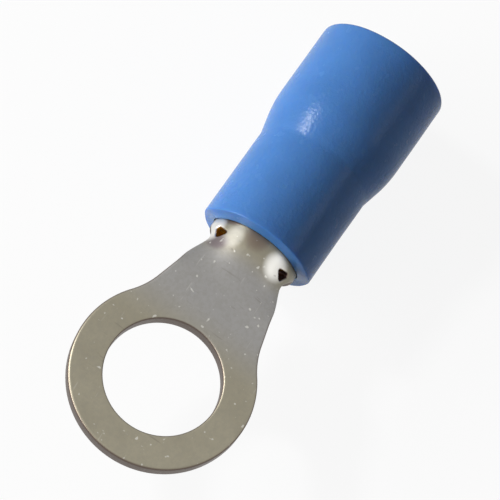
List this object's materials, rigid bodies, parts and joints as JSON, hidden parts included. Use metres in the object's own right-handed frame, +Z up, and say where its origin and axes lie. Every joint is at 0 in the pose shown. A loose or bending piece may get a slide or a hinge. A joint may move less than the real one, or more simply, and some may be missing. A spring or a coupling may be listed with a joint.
{
  "type": "insulated ring terminal",
  "caption": "Crimp ring terminal: flat tinned copper ring and neck, rolled crimp barrel, and a blue plastic sleeve that flares at the wire entry.",
  "frame": {"origin": "centre of the stud hole, on the tongue's underside", "axes": "+Z up along the stud hole, out of the tongue's flush upper face; +X from the ring towards the wire entry"},
  "size_m": [0.0187, 0.0068, 0.0052],
  "materials": {
    "tinned_copper": "dull electro-tinned copper sheet",
    "blue_sleeve": "soft semi-gloss blue vinyl"
  },
  "bodies": {
    "root": {"terminal_body": "tinned_copper", "insulating_sleeve": "blue_sleeve"}
  },
  "joints": []
}
